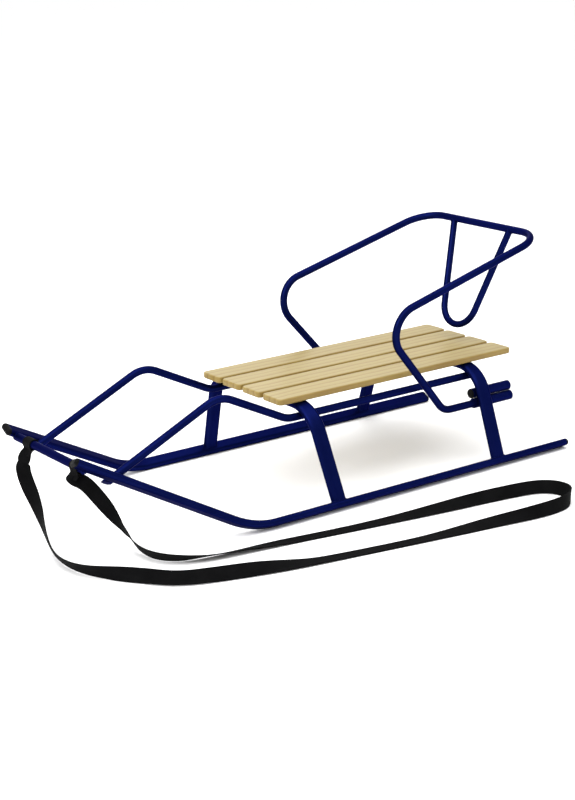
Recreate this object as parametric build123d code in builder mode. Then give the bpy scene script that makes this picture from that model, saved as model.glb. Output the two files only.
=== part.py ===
from build123d import *

import os
from math import asin, atan2, cos, hypot, pi, radians, sin, sqrt, tan

# Child's snow sled, in millimetres. +X is forward, +Y is left, +Z is up, and the origin is on the
# ground under the middle of the frame. Two flat-oval runners turn up and inwards at the nose.
# Two bent leg arches stand on them and carry four seat slats. Two round rails run under the arches
# and rise into the front loops. The backrest is a bent hoop that plugs into sleeves on the rear legs.

# Tube stock and fits
TUBE_DIA = 15.0
LOOP_DIA = 14.0
NOSE_BAR_DIA = 16.0
RUNNER_WIDTH = 27.5
LEG_WIDTH = 31.0
OVAL_THICKNESS = 14.0
OVAL_WALL = 1.2
WELD_GAP = 0.1
PLUG_CLEARANCE = 0.1
SLIDE_CLEARANCE = 0.1

# Runners
RUNNER_GAUGE = 439.0
NOSE_BEND_AHEAD = 195.0
RUNNER_BEND = 160.0
NOSE_REACH = 305.0
NOSE_RISE = 166.0
NOSE_INSET = 92.0
NOSE_BAR_SETBACK = 22.0
NOSE_BAR_DROP = 4.0

# End caps of the runners
CAP_FLANGE = 7.0
CAP_ROUND = 5.5
CAP_PLUG = 9.0
SOCKET_DEPTH = 10.0

# Leg arches
REAR_LEG_FROM_END = 178.0
FRONT_ARCH_LEAN = radians(4.8)
REAR_ARCH_LEAN = 0.0
SHOULDER_HALF = 158.0
LEG_BEND = 68.0

# Seat
SLAT_COUNT = 4
SLAT_LENGTH = 583.0
SLAT_WIDTH = 60.0
SLAT_THICKNESS = 12.5
SLAT_GAP = 7.5
SLAT_CORNER = 9.0
SLAT_EDGE_ROUND = 3.0
SEAT_TOP = 207.0
SEAT_REAR_OVERHANG = 114.0
SEAT_FRONT_OVERHANG = 69.0

# Rails and front loops
RAIL_HALF = 130.0
RAIL_TAIL = 11.0
LOOP_LOW_AHEAD = 52.0
LOOP_PEAK_AHEAD = 202.0
LOOP_PEAK_HEIGHT = 241.0
LOOP_FOOT_ALONG = 274.0
LOOP_FOOT_PAST = 24.0
LOOP_LOW_BEND = 55.0
LOOP_PEAK_BEND = 62.0

# Sleeves on the rear legs
SLEEVE_DIA = 20.0
SLEEVE_LENGTH = 99.0
SLEEVE_AHEAD = 18.0
SLEEVE_INTO_BEND = 3.0

# Backrest
BACKREST_INSERT = 95.0
ARM_LOW_AHEAD = 78.0
ARM_FRONT_AHEAD = 175.0
ARM_FRONT_HALF = 185.0
ARM_FRONT_HEIGHT = 328.0
TOP_BAR_BACK = 421.0
TOP_BAR_HALF = 178.0
TOP_BAR_HEIGHT = 439.5
ARM_LOW_BEND = 40.0
ARM_FRONT_BEND = 52.0
TOP_CORNER_BEND = 60.0
VEE_HALF = 85.0
VEE_ABOVE_SEAT = 30.5
VEE_BEND = 48.0
VEE_LEAN = radians(20.0)

# Pull strap
STRAP_WIDTH = 27.0
STRAP_THICKNESS = 2.2
STRAP_LOOSE = 0.2
STRAP_TUBE_DIA = 8.0
STRAP_LEAD = 24.0
STRAP_SLANT = radians(35.0)
STRAP_EASE = 0.45

SIDES = ((1, "left"), (-1, "right"))

# Worked out from the driving sizes
oval_radius = OVAL_THICKNESS / 2
runner_flat_half = (RUNNER_WIDTH - OVAL_THICKNESS) / 2
leg_flat_half = (LEG_WIDTH - OVAL_THICKNESS) / 2
tube_radius = TUBE_DIA / 2
nose_climb = hypot(NOSE_INSET, NOSE_RISE)
nose_length = hypot(NOSE_REACH, nose_climb)
nose_angle = atan2(nose_climb, NOSE_REACH)
runner_tilt = atan2(NOSE_INSET, NOSE_RISE)
runner_height = oval_radius + runner_flat_half * sin(runner_tilt)
nose_overhang = CAP_FLANGE * cos(nose_angle) + oval_radius * sin(nose_angle)
leg_spacing = SLAT_LENGTH - SEAT_REAR_OVERHANG - SEAT_FRONT_OVERHANG
runner_straight = REAR_LEG_FROM_END + leg_spacing + NOSE_BEND_AHEAD
rear_end = -(runner_straight + NOSE_REACH + nose_overhang - CAP_FLANGE) / 2
rear_leg = rear_end + REAR_LEG_FROM_END
front_leg = rear_leg + leg_spacing
nose_bend = rear_end + runner_straight
slat_bottom = SEAT_TOP - SLAT_THICKNESS


def runner_up(side):
    """Direction in which a runner's flat top faces: up and inwards."""
    return Vector(0, -side * sin(runner_tilt), cos(runner_tilt))


def runner_wide(side):
    """Direction of a runner's wide side: outwards and up."""
    return Vector(0, side * cos(runner_tilt), sin(runner_tilt))


def nose_direction(side):
    """Direction of a runner's straight run to the nose."""
    return Vector(cos(nose_angle), 0, 0) + runner_up(side) * sin(nose_angle)


def nose_normal(side):
    """Direction in which the flat top of the nose run faces."""
    return Vector(-sin(nose_angle), 0, 0) + runner_up(side) * cos(nose_angle)


def nose_point(side, along):
    """Point of the nose run's centre line, at a distance from the bend's corner."""
    corner = Vector(nose_bend, side * RUNNER_GAUGE / 2, runner_height)
    return corner + nose_direction(side) * along


def save(piece, name):
    """Label a finished piece and write it."""
    piece.part.label = name
    export_step(piece.part, f"parts/{name}.step")


os.makedirs("parts", exist_ok=True)

# Runners: one flat-oval tube a side, bent once in a plane that leans inwards
runners = {}
for side, hand in SIDES:
    start = Vector(rear_end, side * RUNNER_GAUGE / 2, runner_height)
    bend_plane = Plane(start, x_dir=(1, 0, 0), z_dir=Vector(1, 0, 0).cross(runner_up(side)))
    rear_face = Plane(start, x_dir=runner_wide(side), z_dir=(-1, 0, 0))
    nose_face = Plane(nose_point(side, nose_length), x_dir=runner_wide(side), z_dir=nose_direction(side))
    with BuildPart() as runner:
        with BuildLine(bend_plane) as runner_route:
            FilletPolyline(
                (0, 0),
                (runner_straight, 0),
                (runner_straight + NOSE_REACH, nose_climb),
                radius=RUNNER_BEND,
            )
        with BuildSketch(rear_face):
            SlotOverall(RUNNER_WIDTH, OVAL_THICKNESS)
        sweep(path=runner_route.line)
        for face in (rear_face, nose_face):
            with BuildSketch(face):
                SlotOverall(RUNNER_WIDTH - 2 * OVAL_WALL, OVAL_THICKNESS - 2 * OVAL_WALL)
            extrude(amount=-SOCKET_DEPTH, mode=Mode.SUBTRACT)
    runners[side] = runner
    save(runner, f"runner_{hand}")

    # End caps: a rounded flange against the tube's end and a plug in its mouth
    for place, face in (("rear", rear_face), ("nose", nose_face)):
        plug_wall = OVAL_WALL + PLUG_CLEARANCE
        with BuildPart() as cap:
            with BuildSketch(face):
                SlotOverall(RUNNER_WIDTH, OVAL_THICKNESS)
            extrude(amount=CAP_FLANGE)
            outer_face = cap.faces().sort_by(Axis(face.origin, face.z_dir))[-1]
            fillet(outer_face.edges(), CAP_ROUND)
            with BuildSketch(face):
                SlotOverall(RUNNER_WIDTH - 2 * plug_wall, OVAL_THICKNESS - 2 * plug_wall)
            extrude(amount=-CAP_PLUG)
        save(cap, f"{place}_cap_{hand}")

# Nose crossbar between the inner edges of the two runners, a little below their middle
bar_station = nose_length - NOSE_BAR_SETBACK
bar_edge = nose_point(1, bar_station) - runner_wide(1) * runner_flat_half
bar_end = bar_edge - nose_normal(1) * NOSE_BAR_DROP
with BuildPart() as nose_crossbar:
    with BuildSketch(Plane((bar_end.X, 0, bar_end.Z), x_dir=(1, 0, 0), z_dir=(0, 1, 0))):
        Circle(NOSE_BAR_DIA / 2)
    extrude(amount=bar_end.Y - oval_radius / 2, both=True)
    for side, hand in SIDES:
        add(runners[side].part, mode=Mode.SUBTRACT)
save(nose_crossbar, "nose_crossbar")

# Leg arches: two slanted legs and the bar under the seat, bent from one flat-oval tube
ARCHES = (
    # name, station along X, forward lean
    ("front_leg_arch", front_leg, FRONT_ARCH_LEAN),
    ("rear_leg_arch", rear_leg, REAR_ARCH_LEAN),
)


def arch_rise(lean):
    """Height of an arch's bar over the runners' centre line, measured in the arch's own plane."""
    bar_half = oval_radius + leg_flat_half * sin(lean)
    return (slat_bottom - bar_half - runner_height) / cos(lean)


def leg_slant(lean):
    """Angle between an arch's leg and its upright, measured in the arch's own plane."""
    return atan2(RUNNER_GAUGE / 2 - SHOULDER_HALF, arch_rise(lean))


def shoulder_reach(lean):
    """Distance from a shoulder's corner to the ends of its bend."""
    return LEG_BEND * tan((pi / 2 - leg_slant(lean)) / 2)


for name, station, lean in ARCHES:
    arch_normal = Vector(cos(lean), 0, -sin(lean))
    arch_plane = Plane((station, 0, runner_height), x_dir=(0, 1, 0), z_dir=arch_normal)
    rise = arch_rise(lean)
    with BuildPart() as arch:
        with BuildLine(arch_plane) as arch_route:
            FilletPolyline(
                (RUNNER_GAUGE / 2, 0),
                (SHOULDER_HALF, rise),
                (-SHOULDER_HALF, rise),
                (-RUNNER_GAUGE / 2, 0),
                radius=LEG_BEND,
            )
        with BuildSketch(Plane(arch_route.line @ 0, x_dir=arch_normal, z_dir=arch_route.line % 0)):
            SlotOverall(LEG_WIDTH, OVAL_THICKNESS)
        sweep(path=arch_route.line)
        for side, hand in SIDES:
            foot = Vector(station, side * RUNNER_GAUGE / 2, runner_height)
            seat_point = foot + runner_up(side) * (oval_radius + WELD_GAP)
            split(bisect_by=Plane(seat_point, z_dir=runner_up(side)), keep=Keep.TOP)
    save(arch, name)

# Seat slats, numbered from the left
slat_middle = rear_leg - SEAT_REAR_OVERHANG + SLAT_LENGTH / 2
slat_pitch = SLAT_WIDTH + SLAT_GAP
for index in range(SLAT_COUNT):
    slat_y = ((SLAT_COUNT - 1) / 2 - index) * slat_pitch
    with BuildPart() as slat:
        with BuildSketch(Plane((slat_middle, slat_y, slat_bottom))):
            RectangleRounded(SLAT_LENGTH, SLAT_WIDTH, SLAT_CORNER)
        extrude(amount=SLAT_THICKNESS)
        fillet(slat.faces().sort_by(Axis.Z)[-1].edges(), SLAT_EDGE_ROUND)
        fillet(slat.faces().sort_by(Axis.Z)[0].edges(), SLAT_EDGE_ROUND)
    save(slat, f"seat_slat_{index + 1}")


def rail_height(lean):
    """Height of a rail that nests in the inner side of an arch's shoulder bend."""
    across = RAIL_HALF - (SHOULDER_HALF - shoulder_reach(lean))
    room = LEG_BEND - oval_radius - tube_radius - WELD_GAP
    inside = arch_rise(lean) - LEG_BEND + sqrt(room**2 - across**2)
    return runner_height + inside * cos(lean) - leg_flat_half * sin(lean)


# Rails: straight under both arches, then over the front loop and down beside the nose run's inner edge
rail_front_z = rail_height(FRONT_ARCH_LEAN)
rail_rear_z = rail_height(REAR_ARCH_LEAN)
front_bar_x = front_leg + arch_rise(FRONT_ARCH_LEAN) * sin(FRONT_ARCH_LEAN)
rail_slope = (rail_front_z - rail_rear_z) / (front_bar_x - rear_leg)
rail_end = rear_leg - RAIL_TAIL
loop_low = front_leg + LOOP_LOW_AHEAD
loop_peak = front_leg + LOOP_PEAK_AHEAD
for side, hand in SIDES:
    foot = nose_point(side, LOOP_FOOT_ALONG)
    foot_slope = (LOOP_PEAK_HEIGHT - foot.Z) / (foot.X - loop_peak)
    cut_point = foot - nose_normal(side) * oval_radius
    with BuildPart() as rail:
        with BuildLine(Plane((0, side * RAIL_HALF, 0), x_dir=(1, 0, 0), z_dir=(0, -1, 0))) as rail_route:
            FilletPolyline(
                (rail_end, rail_rear_z + rail_slope * (rail_end - rear_leg)),
                (loop_low, rail_rear_z + rail_slope * (loop_low - rear_leg)),
                (loop_peak, LOOP_PEAK_HEIGHT),
                (foot.X + LOOP_FOOT_PAST, foot.Z - LOOP_FOOT_PAST * foot_slope),
                radius=(LOOP_LOW_BEND, LOOP_PEAK_BEND),
            )
        with BuildSketch(Plane(rail_route.line @ 0, z_dir=rail_route.line % 0)):
            Circle(tube_radius)
        sweep(path=rail_route.line)
        split(bisect_by=Plane(cut_point, z_dir=nose_normal(side)), keep=Keep.TOP)
        add(runners[side].part, mode=Mode.SUBTRACT)
    save(rail, f"rail_{hand}")

# Sleeves along the inner face of each rear leg: the upper pair is open for a push handle,
# and the lower pair holds the backrest
rear_slant = leg_slant(REAR_ARCH_LEAN)
rear_leg_length = hypot(RUNNER_GAUGE / 2 - SHOULDER_HALF, arch_rise(REAR_ARCH_LEAN))
sleeve_front = rear_leg + SLEEVE_AHEAD
sleeve_offset = oval_radius + WELD_GAP + SLEEVE_DIA / 2
handle_sleeve_up = rear_leg_length - shoulder_reach(REAR_ARCH_LEAN) + SLEEVE_INTO_BEND
backrest_sleeve_up = handle_sleeve_up - SLEEVE_DIA - WELD_GAP


def sleeve_place(side, up):
    """Centre of a sleeve's front end, at a distance up the rear leg."""
    across = RUNNER_GAUGE / 2 - up * sin(rear_slant) - sleeve_offset * cos(rear_slant)
    height = runner_height + up * cos(rear_slant) - sleeve_offset * sin(rear_slant)
    return Vector(sleeve_front, side * across, height)


SLEEVES = (
    # name, distance up the leg
    ("handle_sleeve", handle_sleeve_up),
    ("backrest_sleeve", backrest_sleeve_up),
)
for name, up in SLEEVES:
    for side, hand in SIDES:
        with BuildPart() as sleeve:
            with BuildSketch(Plane(sleeve_place(side, up), z_dir=(-1, 0, 0))):
                Circle(SLEEVE_DIA / 2)
                Circle(tube_radius + SLIDE_CLEARANCE, mode=Mode.SUBTRACT)
            extrude(amount=SLEEVE_LENGTH)
        save(sleeve, f"{name}_{hand}")

# Backrest hoop: from one sleeve forward, up and back round the top corners to the other sleeve
arm_root = sleeve_place(1, backrest_sleeve_up)
arm_low_x = sleeve_front + ARM_LOW_AHEAD
arm_front_x = arm_low_x + ARM_FRONT_AHEAD
top_bar_x = arm_front_x - TOP_BAR_BACK
left_arm = (
    (sleeve_front - BACKREST_INSERT, arm_root.Y, arm_root.Z),
    (arm_low_x, arm_root.Y, arm_root.Z),
    (arm_front_x, ARM_FRONT_HALF, ARM_FRONT_HEIGHT),
    (top_bar_x, TOP_BAR_HALF, TOP_BAR_HEIGHT),
)
right_arm = tuple((x, -y, z) for x, y, z in reversed(left_arm))
with BuildPart() as backrest_hoop:
    with BuildLine() as hoop_route:
        FilletPolyline(
            *left_arm,
            *right_arm,
            radius=(
                ARM_LOW_BEND,
                ARM_FRONT_BEND,
                TOP_CORNER_BEND,
                TOP_CORNER_BEND,
                ARM_FRONT_BEND,
                ARM_LOW_BEND,
            ),
        )
    with BuildSketch(Plane(hoop_route.line @ 0, z_dir=hoop_route.line % 0)):
        Circle(tube_radius)
    sweep(path=hoop_route.line)
save(backrest_hoop, "backrest_hoop")

# Backrest loop: a narrow vee with a round bottom that hangs from the top bar
vee_drop = (TOP_BAR_HEIGHT - SEAT_TOP - VEE_ABOVE_SEAT) / cos(VEE_LEAN)
vee_centre_drop = vee_drop - VEE_BEND
vee_half_angle = atan2(VEE_HALF, vee_centre_drop) - asin(VEE_BEND / hypot(VEE_HALF, vee_centre_drop))
vee_plane = Plane(
    (top_bar_x, 0, TOP_BAR_HEIGHT),
    x_dir=(0, 1, 0),
    z_dir=(-cos(VEE_LEAN), 0, -sin(VEE_LEAN)),
)
with BuildPart() as backrest_loop:
    with BuildLine(vee_plane) as vee_route:
        FilletPolyline(
            (VEE_HALF, 0),
            (0, VEE_HALF / tan(vee_half_angle)),
            (-VEE_HALF, 0),
            radius=VEE_BEND,
        )
    with BuildSketch(Plane(vee_route.line @ 0, z_dir=vee_route.line % 0)):
        Circle(LOOP_DIA / 2)
    sweep(path=vee_route.line)
    add(backrest_hoop.part, mode=Mode.SUBTRACT)
save(backrest_loop, "backrest_loop")

# Strap loops: a band of webbing round the nose crossbar at each end of the strap
STRAP_LOOPS = (
    # hand, place along Y
    ("left", 101.0),
    ("right", -71.0),
)
strap_places = dict(STRAP_LOOPS)
band_inner = NOSE_BAR_DIA / 2 + STRAP_LOOSE
band_outer = band_inner + STRAP_THICKNESS
for hand, across in STRAP_LOOPS:
    with BuildPart() as strap_loop:
        with BuildSketch(Plane((bar_end.X, across, bar_end.Z), x_dir=(1, 0, 0), z_dir=(0, 1, 0))):
            Circle(band_outer)
            Circle(band_inner, mode=Mode.SUBTRACT)
        extrude(amount=STRAP_WIDTH / 2, both=True)
    save(strap_loop, f"strap_loop_{hand}")

# Pull strap: from under the right strap loop to the ground, round a long bight and up to the left
STRAP_ROUTE = (
    # ahead of the runners' bend, left of the middle, height
    (307, -58, 100),
    (306, -33, 61),
    (310, -1, 26),
    (331, 58, 13),
    (349, 114, 13),
    (353, 160, 12),
    (344, 205, 12),
    (317, 248, 14),
    (281, 291, 13),
    (239, 338, 11),
    (177, 367, 12),
    (98, 386, 10),
    (6, 403, 5),
    (-86, 418, 4.5),
    (-182, 435, 4.5),
    (-276, 451, 5),
    (-368, 467, 8),
    (-438, 482, 10),
    (-490, 490, 13),
    (-533, 482, 14),
    (-565, 452, 14),
    (-566, 413, 13),
    (-539, 385, 12),
    (-480, 372, 12),
    (-398, 359, 10),
    (-306, 343, 6),
    (-214, 327, 5),
    (-128, 313, 4.5),
    (-40, 297, 4.5),
    (45, 284, 5),
    (115, 272, 5),
    (166, 246, 4.5),
    (198, 208, 4.5),
    (212, 170, 6),
    (219, 147, 27),
    (232, 133, 53),
    (250, 120, 88),
    (280, 112, 108),
)


def strap_exit(hand, beyond):
    """Point out of a strap loop, forward and down, at a distance beyond it."""
    out = band_outer + beyond
    return Vector(bar_end.X + out * sin(STRAP_SLANT), strap_places[hand], bar_end.Z - out * cos(STRAP_SLANT))


strap_points = [
    strap_exit("right", 0),
    strap_exit("right", STRAP_LEAD),
    *[Vector(nose_bend + ahead, across, height) for ahead, across, height in STRAP_ROUTE],
    strap_exit("left", STRAP_LEAD),
    strap_exit("left", 0),
]
strap_runs = [after - before for before, after in zip(strap_points, strap_points[1:])]
strap_bends = []
for before, after in zip(strap_runs, strap_runs[1:]):
    half_turn = radians(before.get_angle(after)) / 2
    strap_bends.append(STRAP_EASE * min(before.length, after.length) / tan(half_turn))
with BuildPart() as pull_strap:
    with BuildLine() as strap_route:
        FilletPolyline(*strap_points, radius=strap_bends)
    with BuildSketch(Plane(strap_route.line @ 0, z_dir=strap_route.line % 0)):
        Circle(STRAP_TUBE_DIA / 2)
    sweep(path=strap_route.line)
save(pull_strap, "pull_strap")
strap_length = strap_route.wire().length
strap_volume = pi * STRAP_TUBE_DIA**2 / 4 * strap_length
print("strap length", round(strap_length, 1))
print("strap volume over section times length", round(pull_strap.part.volume / strap_volume, 5))
print("strap runs", [round(run.length) for run in strap_runs])
print("strap bend radii", [round(bend) for bend in strap_bends])
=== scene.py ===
from math import asin, atan2, cos, hypot, pi, radians, sin

import bmesh
import bpy
from mathutils import Matrix, Vector
from mathutils.bvhtree import BVHTree


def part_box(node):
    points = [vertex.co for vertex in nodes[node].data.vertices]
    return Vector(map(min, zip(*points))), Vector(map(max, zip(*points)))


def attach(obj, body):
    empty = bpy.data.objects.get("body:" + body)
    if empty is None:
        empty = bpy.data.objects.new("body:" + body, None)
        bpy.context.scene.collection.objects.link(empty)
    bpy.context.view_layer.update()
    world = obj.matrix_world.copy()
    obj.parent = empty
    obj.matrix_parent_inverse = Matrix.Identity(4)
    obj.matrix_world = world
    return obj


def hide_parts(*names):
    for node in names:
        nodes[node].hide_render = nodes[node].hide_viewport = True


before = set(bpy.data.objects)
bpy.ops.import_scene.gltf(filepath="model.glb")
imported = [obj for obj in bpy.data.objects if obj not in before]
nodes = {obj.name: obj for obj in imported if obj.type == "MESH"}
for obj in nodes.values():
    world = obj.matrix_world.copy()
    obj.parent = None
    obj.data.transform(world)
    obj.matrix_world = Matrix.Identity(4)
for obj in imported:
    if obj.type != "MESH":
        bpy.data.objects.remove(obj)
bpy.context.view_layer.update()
scene = bpy.context.scene
scene.view_settings.view_transform = "Standard"
MM = 0.001
SIDES = {"left": 1, "right": -1}

# Camera at the photograph's viewing place
CAMERA_PLACE = Vector((1.90009, 2.65860, 1.12740))
CAMERA_RIGHT = Vector((-0.8084, 0.5881, -0.0239))
CAMERA_UP = Vector((-0.1860, -0.2168, 0.9583))
CAMERA_LENS = 78.43
CAMERA_SENSOR = 36.0
camera_data = bpy.data.cameras.new("camera")
camera_data.sensor_fit = "VERTICAL"
camera_data.sensor_height = CAMERA_SENSOR
camera_data.lens = CAMERA_LENS
camera = bpy.data.objects.new("camera", camera_data)
scene.collection.objects.link(camera)
right = CAMERA_RIGHT.normalized()
back = right.cross(CAMERA_UP).normalized()
up = back.cross(right)
camera_turn = Matrix((right, up, back)).transposed().to_4x4()
camera.matrix_world = Matrix.Translation(CAMERA_PLACE) @ camera_turn
scene.camera = camera


# Helpers for materials. Texture scales count features a metre; tones are places on a ramp, each
# with its linear colour.
def feed(tree, node, inputs):
    """Fill a node's inputs: constants on their own sockets, the rest by links."""
    for key, value in inputs.items():
        if isinstance(value, bpy.types.NodeSocket):
            tree.links.new(value, node.inputs[key])
        else:
            node.inputs[key].default_value = value


def add_node(tree, kind, inputs=None, **settings):
    """Node with its settings and its inputs."""
    made = tree.nodes.new(kind)
    for key, value in settings.items():
        setattr(made, key, value)
    feed(tree, made, inputs or {})
    return made


def new_material(name):
    """Material, its node tree and a shader that is joined to its output."""
    made = bpy.data.materials.new(name)
    made.use_nodes = True
    tree = made.node_tree
    tree.nodes.clear()
    shader = add_node(tree, "ShaderNodeBsdfPrincipled")
    add_node(tree, "ShaderNodeOutputMaterial", {"Surface": shader.outputs["BSDF"]})
    return made, tree, shader


def coordinates(tree, kind):
    """Coordinates of one kind: Object, Normal or UV."""
    return add_node(tree, "ShaderNodeTexCoord").outputs[kind]


def object_place(tree, scale=(1, 1, 1), shift=(0, 0, 0)):
    """Place on the object, stretched and shifted."""
    mapping = add_node(
        tree, "ShaderNodeMapping",
        {"Vector": coordinates(tree, "Object"), "Scale": scale, "Location": shift},
    )
    return mapping.outputs["Vector"]


def split(tree, vector):
    """Outputs X, Y and Z of a vector."""
    return add_node(tree, "ShaderNodeSeparateXYZ", {"Vector": vector}).outputs


def noise(tree, place, scale, detail, roughness=0.5):
    """Cloudy value between 0 and 1."""
    made = add_node(
        tree, "ShaderNodeTexNoise",
        {"Vector": place, "Scale": scale, "Detail": detail, "Roughness": roughness},
    )
    return made.outputs["Fac"]


def ramp(tree, value, tones):
    """Colour that follows a value through its tones."""
    made = add_node(tree, "ShaderNodeValToRGB", {"Fac": value})
    elements = made.color_ramp.elements
    while len(elements) < len(tones):
        elements.new(0.5)
    for element, (position, colour) in zip(elements, tones):
        element.position = position
        element.color = (*colour, 1)
    return made.outputs["Color"]


def spread(tree, value, limits):
    """Value between 0 and 1, stretched to its limits."""
    low, high = limits
    made = add_node(
        tree, "ShaderNodeMapRange", {"Value": value, "To Min": low, "To Max": high}
    )
    return made.outputs["Result"]


def tinted(tree, colour, tint):
    """Colour multiplied by a tint."""
    made = add_node(
        tree, "ShaderNodeMix", {0: 1.0, 6: colour, 7: tint},
        data_type="RGBA", blend_type="MULTIPLY",
    )
    return made.outputs[2]


def combine(tree, operation, *values):
    """Result of one arithmetic step on its values."""
    inputs = dict(enumerate(values))
    return add_node(tree, "ShaderNodeMath", inputs, operation=operation).outputs[0]


def bump(tree, shader, height, strength, distance):
    """Give a shader a bumpy surface."""
    made = add_node(
        tree, "ShaderNodeBump", {"Height": height, "Strength": strength, "Distance": distance}
    )
    feed(tree, shader, {"Normal": made.outputs["Normal"]})


# Blue paint
PAINT_TONES = ((0.30, (0.0022, 0.0044, 0.041)), (0.70, (0.0033, 0.0062, 0.058)))
PAINT_ROUGHNESS = (0.26, 0.44)
PAINT_CLOUD_SCALE = 14.0
PAINT_SCUFF_SCALE = 180.0
PAINT_PEEL_SCALE = 850.0


def make_paint():
    """Deep blue gloss paint on steel tube, with a fine orange peel and a little handling wear."""
    made, tree, shader = new_material("blue_paint")
    place = object_place(tree)
    cloud = noise(tree, place, PAINT_CLOUD_SCALE, detail=4.0)
    scuff = noise(tree, place, PAINT_SCUFF_SCALE, detail=6.0, roughness=0.7)
    peel = noise(tree, place, PAINT_PEEL_SCALE, detail=2.0)
    feed(tree, shader, {
        "Base Color": ramp(tree, cloud, PAINT_TONES),
        "Roughness": spread(tree, scuff, PAINT_ROUGHNESS),
        "Metallic": 0.7,
        "Specular IOR Level": 0.02,
        "Specular Tint": (0.10, 0.14, 0.45, 1),
    })
    bump(tree, shader, peel, strength=0.10, distance=0.0004)
    return made


# Pine: the scales are along, across and through the slat
WHITE = (1.0, 1.0, 1.0)
PINE_GRAIN = (
    (0.0, (0.362, 0.295, 0.128)),
    (0.62, (0.338, 0.268, 0.110)),
    (0.90, (0.272, 0.195, 0.068)),
    (1.0, (0.354, 0.286, 0.122)),
)
PINE_FIBRE_TINT = ((0.25, (0.83, 0.80, 0.74)), (0.75, WHITE))
PINE_DRIFT_TINT = ((0.25, (0.84, 0.80, 0.66)), (0.75, WHITE))
# Painted shade: the slats' sides and rounded edges, which face away from upright, are tinted darker
# and browner
PINE_PAINTED_SHADE = ((0.25, (0.94, 0.84, 0.58)), (0.95, WHITE))
PINE_ROUGHNESS = (0.36, 0.55)
PINE_RING_SCALE = (0.30, 1.0, 1.0)
PINE_FIBRE_SCALE = (9.0, 420.0, 420.0)
PINE_DRIFT_SCALE = (1.6, 9.0, 9.0)


def make_pine(name, shift):
    """Planed pine, clear varnished, with the grain along the slat and painted shade on the sides
    and rounded edges.
    """
    made, tree, shader = new_material(name)
    rings = add_node(
        tree, "ShaderNodeTexWave",
        {
            "Vector": object_place(tree, PINE_RING_SCALE, shift),
            "Scale": 17.0,
            "Distortion": 3.4,
            "Detail": 2.0,
            "Detail Scale": 1.2,
            "Detail Roughness": 0.55,
        },
        wave_type="BANDS", bands_direction="Y", wave_profile="SAW",
    ).outputs["Fac"]
    fibre_place = object_place(tree, PINE_FIBRE_SCALE, shift)
    fibre = noise(tree, fibre_place, 1.0, detail=4.0, roughness=0.65)
    drift = noise(tree, object_place(tree, PINE_DRIFT_SCALE, shift), 1.0, detail=3.0)
    # Painted shade from the faces' tilt: the less a face looks up, the darker and browner the wood
    flatness = combine(tree, "ABSOLUTE", split(tree, coordinates(tree, "Normal"))["Z"])
    wood = ramp(tree, rings, PINE_GRAIN)
    tints_and_shade = ((fibre, PINE_FIBRE_TINT), (drift, PINE_DRIFT_TINT), (flatness, PINE_PAINTED_SHADE))
    for value, tones in tints_and_shade:
        wood = tinted(tree, wood, ramp(tree, value, tones))
    feed(tree, shader, {
        "Base Color": wood,
        "Roughness": spread(tree, fibre, PINE_ROUGHNESS),
        "Specular IOR Level": 0.3,
        "Coat Weight": 0.06,
        "Coat Roughness": 0.3,
    })
    bump(tree, shader, fibre, strength=0.22, distance=0.0005)
    return made


# Black plastic
PLASTIC_TONES = ((0.3, (0.0022, 0.0022, 0.0026)), (0.7, (0.0046, 0.0046, 0.0052)))
PLASTIC_ROUGHNESS = (0.38, 0.58)
PLASTIC_CLOUD_SCALE = 40.0
PLASTIC_GRAIN_SCALE = 1400.0


def make_plastic():
    """Moulded black plastic with a fine spark grain."""
    made, tree, shader = new_material("black_plastic")
    place = object_place(tree)
    cloud = noise(tree, place, PLASTIC_CLOUD_SCALE, detail=4.0)
    feed(tree, shader, {
        "Base Color": ramp(tree, cloud, PLASTIC_TONES),
        "Roughness": spread(tree, cloud, PLASTIC_ROUGHNESS),
        "Specular IOR Level": 0.05,
    })
    grain = noise(tree, place, PLASTIC_GRAIN_SCALE, detail=3.0)
    bump(tree, shader, grain, strength=0.25, distance=0.0003)
    return made


# Webbing: its map gives the distance along the strap and the place across it, in metres
WEFT_PITCH = 0.0021
WARP_PITCH = 0.0017
WEBBING_TONES = ((0.3, (0.0018, 0.0018, 0.0020)), (0.7, (0.0040, 0.0040, 0.0043)))
WEBBING_FUZZ_TINT = ((0.3, (0.75, 0.75, 0.75)), (0.8, (1.35, 1.35, 1.35)))
WEBBING_ROUGHNESS = (0.62, 0.86)
WEBBING_FUZZ_SCALE = 900.0
WEBBING_WEAR_SCALE = 22.0


def make_webbing():
    """Black woven webbing: warp ridges along the strap, crossed by the weft."""
    made, tree, shader = new_material("webbing")
    web_place = split(tree, coordinates(tree, "UV"))
    along = combine(tree, "MULTIPLY", web_place["X"], 2 * pi / WEFT_PITCH)
    across = combine(tree, "MULTIPLY", web_place["Y"], pi / WARP_PITCH)
    ridge = combine(tree, "SINE", across)
    stagger = combine(tree, "MULTIPLY", combine(tree, "SIGN", ridge), pi / 2)
    weft = combine(tree, "SINE", combine(tree, "ADD", along, stagger))
    weft_height = combine(tree, "MULTIPLY_ADD", weft, 0.5, 0.5)
    weave = combine(tree, "MULTIPLY", weft_height, combine(tree, "ABSOLUTE", ridge))
    place = object_place(tree)
    fuzz = noise(tree, place, WEBBING_FUZZ_SCALE, detail=4.0, roughness=0.7)
    wear = noise(tree, place, WEBBING_WEAR_SCALE, detail=4.0)
    tone = ramp(tree, wear, WEBBING_TONES)
    feed(tree, shader, {
        "Base Color": tinted(tree, tone, ramp(tree, fuzz, WEBBING_FUZZ_TINT)),
        "Roughness": spread(tree, fuzz, WEBBING_ROUGHNESS),
        "Specular IOR Level": 0.03,
        "Sheen Weight": 0.004,
        "Sheen Roughness": 0.5,
    })
    bump(tree, shader, weave, strength=0.5, distance=0.0005)
    return made


# Thread
THREAD_TONES = ((0.3, (0.010, 0.010, 0.011)), (0.7, (0.024, 0.024, 0.026)))
THREAD_ROUGHNESS = (0.5, 0.7)
THREAD_TWIST_SCALE = 2200.0


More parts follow.
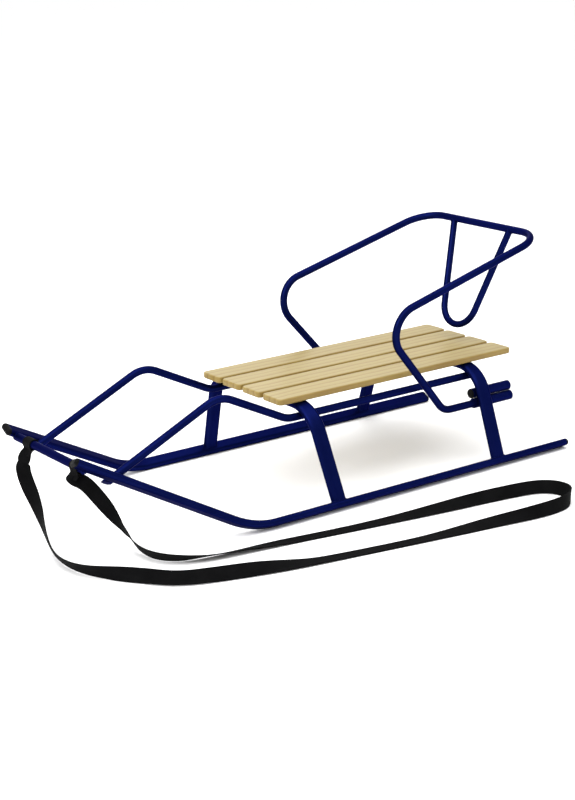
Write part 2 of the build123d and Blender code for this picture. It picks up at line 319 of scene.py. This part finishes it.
def make_thread():
    """Black bonded thread of the seams."""
    made, tree, shader = new_material("thread")
    twist = noise(tree, object_place(tree), THREAD_TWIST_SCALE, detail=2.0)
    feed(tree, shader, {
        "Base Color": ramp(tree, twist, THREAD_TONES),
        "Roughness": spread(tree, twist, THREAD_ROUGHNESS),
    })
    return made


paint = make_paint()
plastic = make_plastic()
webbing = make_webbing()
thread = make_thread()


# Carried-over nodes
def dress(name, material):
    """Give a carried-over node its finish."""
    mesh = nodes[name].data
    mesh.materials.clear()
    mesh.materials.append(material)


PAINTED = ("nose_crossbar", "front_leg_arch", "rear_leg_arch", "backrest_hoop", "backrest_loop")
PAINTED_PAIRS = ("runner", "rail", "handle_sleeve", "backrest_sleeve")
CAP_PAIRS = ("rear_cap", "nose_cap")
SLATS = 4
SLAT_SHIFT = (0.37, 0.53, 0.19)
for name in PAINTED:
    dress(name, paint)
for hand in SIDES:
    for name in PAINTED_PAIRS:
        dress(f"{name}_{hand}", paint)
    for name in CAP_PAIRS:
        dress(f"{name}_{hand}", plastic)
for number in range(1, SLATS + 1):
    shift = [number * step for step in SLAT_SHIFT]
    dress(f"seat_slat_{number}", make_pine(f"pine_{number}", shift))


# Helpers for lines and meshes
ROUTE_STEPS = 14


def route_line(name, points):
    """Points of a smooth line, read from a spline with the route's points as its control points."""
    curve = bpy.data.curves.new(name, "CURVE")
    curve.dimensions = "3D"
    curve.resolution_u = ROUTE_STEPS
    spline = curve.splines.new("NURBS")
    spline.points.add(len(points) - 1)
    for control, place in zip(spline.points, points):
        control.co = (*place, 1)
    spline.order_u = 3
    spline.use_endpoint_u = True
    carrier = bpy.data.objects.new(name, curve)
    scene.collection.objects.link(carrier)
    bpy.context.view_layer.update()
    mesh = bpy.data.meshes.new_from_object(carrier)
    line = [vertex.co.copy() for vertex in mesh.vertices]
    bpy.data.objects.remove(carrier)
    bpy.data.curves.remove(curve)
    bpy.data.meshes.remove(mesh)
    return line


def distances(line):
    """Distance along a line of each of its points."""
    run = [0.0]
    for before, after in zip(line, line[1:]):
        run.append(run[-1] + (after - before).length)
    return run


def heading(line, index, closed=False):
    """Direction of a line at one of its points."""
    if closed:
        return (line[(index + 1) % len(line)] - line[index - 1]).normalized()
    return (line[min(index + 1, len(line) - 1)] - line[max(index - 1, 0)]).normalized()


def finish_mesh(name, mesh, material, body):
    """Object of a built mesh, with its finish, on its body."""
    bmesh.ops.recalc_face_normals(mesh, faces=mesh.faces)
    data = bpy.data.meshes.new(name)
    mesh.to_mesh(data)
    mesh.free()
    made = bpy.data.objects.new(name, data)
    scene.collection.objects.link(made)
    data.materials.append(material)
    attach(made, body)
    return made


def add_rope(mesh, line, radii, sides, closed=False):
    """Round rope along a line, with its own radius at each point, joined up or with closed ends."""
    angles = [2 * pi * side / sides for side in range(sides)]
    one = heading(line, 0, closed).orthogonal().normalized()
    rings = []
    for index, (place, radius) in enumerate(zip(line, radii)):
        ahead = heading(line, index, closed)
        one = (one - ahead * one.dot(ahead)).normalized()
        two = ahead.cross(one)
        spokes = [one * cos(angle) + two * sin(angle) for angle in angles]
        rings.append([mesh.verts.new(place + spoke * radius) for spoke in spokes])
    pairs = list(zip(rings, rings[1:]))
    if closed:
        last = rings[-1][0].co
        first = min(range(sides), key=lambda side: (rings[0][side].co - last).length)
        pairs.append((rings[-1], rings[0][first:] + rings[0][:first]))
    for lower, upper in pairs:
        for side in range(sides):
            following = (side + 1) % sides
            corners = (lower[side], lower[following], upper[following], upper[side])
            mesh.faces.new(corners).smooth = True
    if not closed:
        mesh.faces.new(rings[0])
        mesh.faces.new(rings[-1])


# Webbing
STRAP_WIDTH = 0.027
STRAP_THICKNESS = 0.0022
WEB_SECTION = (
    # half of the section, across and through: flat middle, thicker selvedge, round edge
    (0.0, 0.86), (0.30, 0.86), (0.62, 0.86), (0.84, 0.88), (0.90, 1.0), (0.96, 0.95), (0.992, 0.60),
)


def web_section():
    """Closed section of the webbing as places across and through."""
    quarter = [(u * STRAP_WIDTH / 2, v * STRAP_THICKNESS / 2) for u, v in WEB_SECTION]
    top = [(-u, v) for u, v in reversed(quarter[1:])] + quarter
    return top + [(u, -v) for u, v in reversed(top)]


def add_webbing(name, line, wide):
    """Webbing along a line, with its width turned to the given directions."""
    section = web_section()
    count = len(section)
    run = distances(line)
    mesh = bmesh.new()
    web_map = mesh.loops.layers.uv.new("UVMap")
    rings = []
    for index, (place, across) in enumerate(zip(line, wide)):
        through = heading(line, index).cross(across).normalized()
        rings.append([mesh.verts.new(place + across * u + through * v) for u, v in section])
    for step in range(len(rings) - 1):
        for side in range(count):
            following = (side + 1) % count
            corners = ((step, side), (step, following), (step + 1, following), (step + 1, side))
            face = mesh.faces.new([rings[a][b] for a, b in corners])
            face.smooth = True
            for loop, (a, b) in zip(face.loops, corners):
                loop[web_map].uv = (run[a], section[b][0])
    for ring in (rings[0], rings[-1]):
        for side in range(count // 2 - 1):
            opposite = count - 1 - side
            mesh.faces.new((ring[side], ring[side + 1], ring[opposite - 1], ring[opposite]))
    return finish_mesh(name, mesh, webbing, "frame")


# Pull strap: the places of the nose repeat the part's source, in metres, and so does the route,
# with points moved to follow the photograph
NOSE_BEND = 0.23268
CROSSBAR_X = 0.52110
CROSSBAR_Z = 0.15984
BAND_OUTER = 0.0104
STRAP_LEAD = 0.015
STRAP_SLANT = radians(35.0)
STRAP_PLACES = {"left": 0.101, "right": -0.071}
LAID_ROUTE = (
    # ahead of the runners' bend, left of the middle, height
    (0.3080, -0.0720, 0.1160),
    (0.3080, -0.0590, 0.0930),
    (0.3060, -0.0330, 0.0610),
    (0.3100, -0.0010, 0.0270),
    (0.3314, 0.0577, 0.0150),
    (0.3493, 0.1142, 0.0138),
    (0.3534, 0.1603, 0.0128),
    (0.3439, 0.2052, 0.0132),
    (0.3174, 0.2480, 0.0142),
    (0.2813, 0.2906, 0.0139),
    (0.2386, 0.3382, 0.0124),
    (0.1772, 0.3665, 0.0134),
    (0.0976, 0.3861, 0.0112),
    (0.0055, 0.4031, 0.0034),
    (-0.0861, 0.4179, 0.0018),
    (-0.1823, 0.4348, 0.0018),
    (-0.2757, 0.4511, 0.0040),
    (-0.3675, 0.4667, 0.0082),
    (-0.4378, 0.4822, 0.0112),
    (-0.4901, 0.4898, 0.0138),
    (-0.5333, 0.4819, 0.0142),
    (-0.5655, 0.4523, 0.0142),
    (-0.5656, 0.4134, 0.0138),
    (-0.5390, 0.3847, 0.0128),
    (-0.4799, 0.3720, 0.0122),
    (-0.3983, 0.3586, 0.0108),
    (-0.3059, 0.3434, 0.0068),
    (-0.2144, 0.3273, 0.0032),
    (-0.1281, 0.3129, 0.0019),
    (-0.0401, 0.2972, 0.0018),
    (0.0460, 0.2862, 0.0048),
    (0.1195, 0.2777, 0.0070),
    (0.1784, 0.2635, 0.0102),
    (0.2139, 0.2310, 0.0125),
    (0.2185, 0.1794, 0.0118),
    (0.2190, 0.1470, 0.0260),
    (0.2380, 0.1340, 0.0630),
    (0.2620, 0.1220, 0.1030),
    (0.2850, 0.1130, 0.1360),
)
STRAP_ROLL = (
    # distance along the strap in millimetres, turn of its width from upright in degrees
    (0, -90), (8, -104), (16, -122), (24, -125), (30, -108), (36, -85), (42, -72), (50, -64),
    (58, -60), (77, -49), (95, -33), (115, -23), (136, -12), (158, -3), (186, 5), (241, 18),
    (269, 27), (294, 34), (318, 36), (342, 35), (366, 30), (391, 21), (415, 9), (440, -9),
    (464, -23), (489, -36), (514, -43), (538, -44), (563, -40), (614, -30), (640, -34), (666, -44),
    (692, -56), (718, -66), (743, -75), (768, -85), (794, -89), (844, -90), (995, -91), (1020, -88),
    (1045, -84), (1070, -78), (1119, -68), (1166, -60), (1190, -56), (1213, -50), (1237, -40),
    (1262, -29), (1287, -19), (1312, -8), (1339, 2), (1367, 12), (1393, 22), (1418, 31), (1444, 36),
    (1496, 38), (1545, 40), (1570, 46), (1595, 52), (1619, 59), (1643, 64), (1668, 70), (1692, 74),
    (1717, 79), (1742, 82), (1767, 85), (1817, 88), (1968, 91), (1994, 95), (2021, 100),
    (2040, 105), (2060, 109), (2079, 111), (2097, 112), (2115, 114), (2133, 117), (2150, 124),
    (2172, 132), (2196, 138), (2220, 142), (2244, 144), (2256, 145), (2268, 146), (2280, 147),
    (2292, 137), (2298, 124), (2304, 111), (2316, 88), (2328, 73), (2337, 61), (2358, 36),
    (2384, 16), (2417, 14), (2431, 30), (2439, 50), (2447, 75), (2457, 90),
)
ROLL_SOFTENING = 9
UPRIGHT = Vector((0, 0, 1))


def strap_exit(hand, beyond):
    """Point out of a strap loop, forward and down, at a distance beyond it."""
    out = BAND_OUTER + beyond
    ahead = CROSSBAR_X + out * sin(STRAP_SLANT)
    return (ahead, STRAP_PLACES[hand], CROSSBAR_Z - out * cos(STRAP_SLANT))


def between(table, value):
    """Value read from a table of pairs, in straight steps."""
    for (low, first), (high, second) in zip(table, table[1:]):
        if value <= high:
            return first + (second - first) * max(0.0, value - low) / (high - low)
    return table[-1][1]


def softened(values, times):
    """Values smoothed along their line, with the ends kept."""
    for _ in range(times):
        inner = [(a + 2 * b + c) / 4 for a, b, c in zip(values, values[1:], values[2:])]
        values = [values[0], *inner, values[-1]]
    return values


def rolled(ahead, degrees):
    """Direction of the strap's width, turned from upright about the strap's own direction."""
    upward = (UPRIGHT - ahead * UPRIGHT.dot(ahead)).normalized()
    sideways = ahead.cross(upward)
    return upward * cos(radians(degrees)) + sideways * sin(radians(degrees))


STRAP_ROUTE = (
    strap_exit("right", 0),
    strap_exit("right", STRAP_LEAD),
    *[(NOSE_BEND + ahead, across, height) for ahead, across, height in LAID_ROUTE],
    strap_exit("left", STRAP_LEAD),
    strap_exit("left", 0),
)
strap_line = route_line("strap_line", STRAP_ROUTE)
strap_run = distances(strap_line)
rolls = softened([between(STRAP_ROLL, run / MM) for run in strap_run], ROLL_SOFTENING)
strap_wide = [rolled(heading(strap_line, index), roll) for index, roll in enumerate(rolls)]
pull_strap = add_webbing("pull_strap_webbing", strap_line, strap_wide)
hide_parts("pull_strap")

# Strap loops: the webbing's end goes round the nose crossbar and back along the strap
BAND_MIDDLE = BAND_OUTER - STRAP_THICKNESS / 2
LOOP_WIDE = Vector((0, 1, 0))
LOOP_START_BEYOND = 0.002
LOOP_START_ASIDE = 0.001
LOOP_TURN = (
    # angles from the strap's direction, in degrees
    35, 65, 95, 125, 155, 180, 205, 235, 265, 295, 325,
)
LOOP_HALF_STEP = radians(15.0)
LOOP_REACH = BAND_MIDDLE / cos(LOOP_HALF_STEP)
TAIL_BEYOND = 0.014
TAIL_OFFSET = 0.0024
STRAP_OUT = Vector((sin(STRAP_SLANT), 0, -cos(STRAP_SLANT)))
STRAP_ASIDE = Vector((cos(STRAP_SLANT), 0, sin(STRAP_SLANT)))


def loop_middle(hand):
    """Middle of the crossbar inside a strap loop."""
    return Vector((CROSSBAR_X, STRAP_PLACES[hand], CROSSBAR_Z))


def loop_line(hand):
    """Line of a strap loop across the crossbar, from the strap's start to the tail's end."""
    places = [
        # out along the strap, aside
        (BAND_OUTER + LOOP_START_BEYOND, 0.0),
        (BAND_OUTER, LOOP_START_ASIDE),
        *[(LOOP_REACH * cos(radians(a)), LOOP_REACH * sin(radians(a))) for a in LOOP_TURN],
        (BAND_OUTER, -TAIL_OFFSET),
        (BAND_OUTER + TAIL_BEYOND, -TAIL_OFFSET),
    ]
    middle = loop_middle(hand)
    points = [middle + STRAP_OUT * out + STRAP_ASIDE * aside for out, aside in places]
    return route_line(f"loop_line_{hand}", points)


for hand in SIDES:
    line = loop_line(hand)
    loop = add_webbing(f"strap_loop_webbing_{hand}", line, [LOOP_WIDE] * len(line))
    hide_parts(f"strap_loop_{hand}")

# Seams that hold the loops' tails: a sewn box with a cross
STITCH_LENGTH = 0.0026
STITCH_PITCH = 0.0034
STITCH_RADIUS = 0.00045
STITCH_SIDES = 6
STITCH_SHOULDER = 0.6
FEWEST_STITCHES = 2
SEAM_HALF = 0.0100
SEAM_NEAR = 0.0015
SEAM_FAR = 0.0125
SEAMS = (
    # start and end: distance beyond the loop, place across
    ((SEAM_NEAR, -SEAM_HALF), (SEAM_NEAR, SEAM_HALF)),
    ((SEAM_FAR, -SEAM_HALF), (SEAM_FAR, SEAM_HALF)),
    ((SEAM_NEAR, -SEAM_HALF), (SEAM_FAR, -SEAM_HALF)),
    ((SEAM_NEAR, SEAM_HALF), (SEAM_FAR, SEAM_HALF)),
    ((SEAM_NEAR, -SEAM_HALF), (SEAM_FAR, SEAM_HALF)),
    ((SEAM_NEAR, SEAM_HALF), (SEAM_FAR, -SEAM_HALF)),
)


def add_stitch(mesh, centre, half):
    """Stitch with its ends sunk into the webbing."""
    dip = STRAP_ASIDE * STITCH_RADIUS
    shoulder = half * STITCH_SHOULDER
    line = [centre - half + dip, centre - shoulder, centre, centre + shoulder, centre + half + dip]
    add_rope(mesh, line, [STITCH_RADIUS] * len(line), STITCH_SIDES)


for hand in SIDES:
    depth = TAIL_OFFSET + STRAP_THICKNESS / 2
    face_middle = loop_middle(hand) + STRAP_OUT * BAND_OUTER - STRAP_ASIDE * depth
    mesh = bmesh.new()
    for ends in SEAMS:
        start, end = [face_middle + STRAP_OUT * out + LOOP_WIDE * across for out, across in ends]
        run = end - start
        half_stitch = run.normalized() * STITCH_LENGTH / 2
        count = max(FEWEST_STITCHES, round(run.length / STITCH_PITCH))
        for index in range(count):
            add_stitch(mesh, start + run * (index + 0.5) / count, half_stitch)
    finish_mesh(f"strap_seam_{hand}", mesh, thread, "frame")

# End plugs in the front mouths of the handle sleeves
PLUG_SIDES = 40
PLUG_PROFILE = (
    # distance out of the mouth, radius, in millimetres
    (-8.0, 0.0), (-8.0, 6.6), (-7.2, 7.3), (0.1, 7.3), (0.2, 9.2),
    (0.9, 9.6), (1.8, 9.3), (2.5, 8.0), (2.8, 4.5), (2.8, 0.0),
)


def add_plug(name, mouth):
    """Plastic plug, turned about a line along X through the middle of its mouth."""
    mesh = bmesh.new()
    rings = []
    for out, radius in PLUG_PROFILE:
        steps = PLUG_SIDES if radius else 1
        angles = [2 * pi * step / steps for step in range(steps)]
        places = [Vector((out, radius * cos(a), radius * sin(a))) * MM for a in angles]
        rings.append([mesh.verts.new(mouth + place) for place in places])
    for one, two in zip(rings, rings[1:]):
        for step in range(PLUG_SIDES):
            corners = [
                one[step % len(one)], one[(step + 1) % len(one)],
                two[(step + 1) % len(two)], two[step % len(two)],
            ]
            mesh.faces.new(list(dict.fromkeys(corners))).smooth = True
    finish_mesh(name, mesh, plastic, "frame")


for hand in SIDES:
    low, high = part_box(f"handle_sleeve_{hand}")
    mouth = Vector((high[0], (low[1] + high[1]) / 2, (low[2] + high[2]) / 2))
    add_plug(f"handle_sleeve_plug_{hand}", mouth)

# Weld beads where one tube ends on another: the places and sections repeat the part's source
BEAD_RADIUS = 0.0015
BEAD_RIPPLE = 0.16
BEAD_PITCH = 0.0030
BEAD_SIDES = 8
BEAD_STEPS = 96
BEAD_JUMP = 0.004  # a longer step between two hits breaks the bead
BEAD_START = 0.030  # distance before the joint at which the rays start
BEAD_FEWEST = 5  # points of the shortest bead that is kept
BEAD_TAPER = (0.4, 0.75)  # shares of the radius at an open end
RUNNER_HALF_GAUGE = 0.2195
RUNNER_HEIGHT = 0.01027
LEG_SECTION = (0.031, 0.014)
LEG_RISE = 0.1772
SHOULDER_HALF = 0.158
LEGS = (
    # station along X, forward lean
    (0.03768, radians(4.8)),
    (-0.36232, 0.0),
)
CROSSBAR_SECTION = (0.016, 0.016)
CROSSBAR_WIDE = Vector((1, 0, 0))
VEE_SECTION = (0.014, 0.014)
TOP_BAR_X = -0.51232
TOP_BAR_Z = 0.4395
VEE_HALF = 0.085
VEE_DROP = 0.21497
VEE_BEND = 0.048
VEE_LEAN = radians(20.0)


def surface(name):
    """Faces of a node, ready to be hit by rays."""
    mesh = nodes[name].data
    places = [vertex.co for vertex in mesh.vertices]
    return BVHTree.FromPolygons(places, [polygon.vertices for polygon in mesh.polygons])


def section_outline(width, thickness):
    """Places across and through, evenly round a flat-oval or round tube."""
    radius = thickness / 2
    flat = width - thickness
    half_way = flat + pi * radius
    places = []
    for step in range(BEAD_STEPS):
        run = 2 * half_way * step / BEAD_STEPS
        end = 1 if run < half_way else -1
        run %= half_way
        if run < flat:
            places.append((end * (run - flat / 2), -end * radius))
        else:
            angle = (run - flat) / radius
            across = flat / 2 + radius * sin(angle)
            places.append((end * across, -end * radius * cos(angle)))
    return places


def bead_runs(target, joint, axis, wide, section):
    """Lines where a tube that comes along its axis meets a node's faces, and if each is closed."""
    faces = surface(target)
    through = axis.cross(wide).normalized()
    hits = []
    for u, v in section_outline(*section):
        start = joint - axis * BEAD_START + wide * u + through * v
        hits.append(faces.ray_cast(start, axis, 2 * BEAD_START)[0])
    breaks = [
        index for index, (before, hit) in enumerate(zip([hits[-1], *hits], hits))
        if not hit or not before or (hit - before).length > BEAD_JUMP
    ]
    if not breaks:
        return [(hits, True)]
    runs = []
    for first in breaks:
        run = []
        for step in range(BEAD_STEPS):
            index = (first + step) % BEAD_STEPS
            if not hits[index] or (run and index in breaks):
                break
            run.append(hits[index])
        if len(run) >= BEAD_FEWEST:
            runs.append((run, False))
    return runs


def add_bead(mesh, line, closed):
    """Rippled bead along a line, with drawn-out ends where it is open."""
    ripples = [sin(2 * pi * run / BEAD_PITCH) for run in distances(line)]
    radii = [BEAD_RADIUS * (1 + BEAD_RIPPLE * ripple) for ripple in ripples]
    if not closed:
        for index, share in enumerate(BEAD_TAPER):
            radii[index] *= share
            radii[-1 - index] *= share
    add_rope(mesh, line, radii, BEAD_SIDES, closed)


frame_beads = bmesh.new()
backrest_beads = bmesh.new()
bar_low, bar_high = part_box("nose_crossbar")
bar_ends = {"left": bar_high[1], "right": bar_low[1]}
vee_centre = VEE_DROP - VEE_BEND
vee_angle = atan2(VEE_HALF, vee_centre) - asin(VEE_BEND / hypot(VEE_HALF, vee_centre))
joins = []
for hand, side in SIDES.items():
    runner = f"runner_{hand}"
    for station, lean in LEGS:
        foot = Vector((station, side * RUNNER_HALF_GAUGE, RUNNER_HEIGHT))
        shoulder_x = station + LEG_RISE * sin(lean)
        shoulder_z = RUNNER_HEIGHT + LEG_RISE * cos(lean)
        down = (foot - Vector((shoulder_x, side * SHOULDER_HALF, shoulder_z))).normalized()
        leg_wide = Vector((cos(lean), 0, -sin(lean)))
        joins.append((frame_beads, runner, foot, down, leg_wide, LEG_SECTION))
    bar_end = Vector((CROSSBAR_X, bar_ends[hand], CROSSBAR_Z))
    outward = Vector((0, side, 0))
    joins.append((frame_beads, runner, bar_end, outward, CROSSBAR_WIDE, CROSSBAR_SECTION))
    top = Vector((TOP_BAR_X, side * VEE_HALF, TOP_BAR_Z))
    fall = cos(vee_angle)
    hang = Vector((fall * sin(VEE_LEAN), -side * sin(vee_angle), -fall * cos(VEE_LEAN)))
    vee_wide = hang.orthogonal().normalized()
    joins.append((backrest_beads, "backrest_hoop", top, -hang, vee_wide, VEE_SECTION))
for mesh, *join in joins:
    for line, closed in bead_runs(*join):
        add_bead(mesh, line, closed)
finish_mesh("frame_weld_beads", frame_beads, paint, "frame")
finish_mesh("backrest_weld_beads", backrest_beads, paint, "backrest")

# Floor
FLOOR_HALF = 15.0
FLOOR_CORNERS = ((-1, -1), (1, -1), (1, 1), (-1, 1))
floor_mesh = bpy.data.meshes.new("floor")
floor_places = [(x * FLOOR_HALF, y * FLOOR_HALF, 0) for x, y in FLOOR_CORNERS]
floor_mesh.from_pydata(floor_places, [], [range(len(floor_places))])
floor = bpy.data.objects.new("floor", floor_mesh)
scene.collection.objects.link(floor)
floor_material, floor_tree, floor_shader = new_material("floor")
feed(floor_tree, floor_shader, {"Base Color": (*WHITE, 1), "Roughness": 0.9})
floor_mesh.materials.append(floor_material)

# White surround and soft studio light
world = bpy.data.worlds.new("studio")
scene.world = world
world.use_nodes = True
background = world.node_tree.nodes["Background"]
feed(world.node_tree, background, {"Color": (*WHITE, 1), "Strength": 1.0})
LIGHT_AIM = Vector((0.0, 0.0, 0.2))
LIGHTS = (
    # name, place, size, power
    ("overhead", (0.2, 0.1, 3.2), 4.4, 118.0),
    ("key", (2.4, 0.6, 1.9), 1.2, 36.0),
    ("rim", (-1.6, -2.6, 2.2), 1.8, 20.0),
)
for name, place, size, power in LIGHTS:
    light = bpy.data.lights.new(name, "AREA")
    light.size = size
    light.energy = power
    lamp = bpy.data.objects.new(name, light)
    scene.collection.objects.link(lamp)
    lamp.location = place
    lamp.rotation_euler = (LIGHT_AIM - Vector(place)).to_track_quat("-Z", "Y").to_euler()
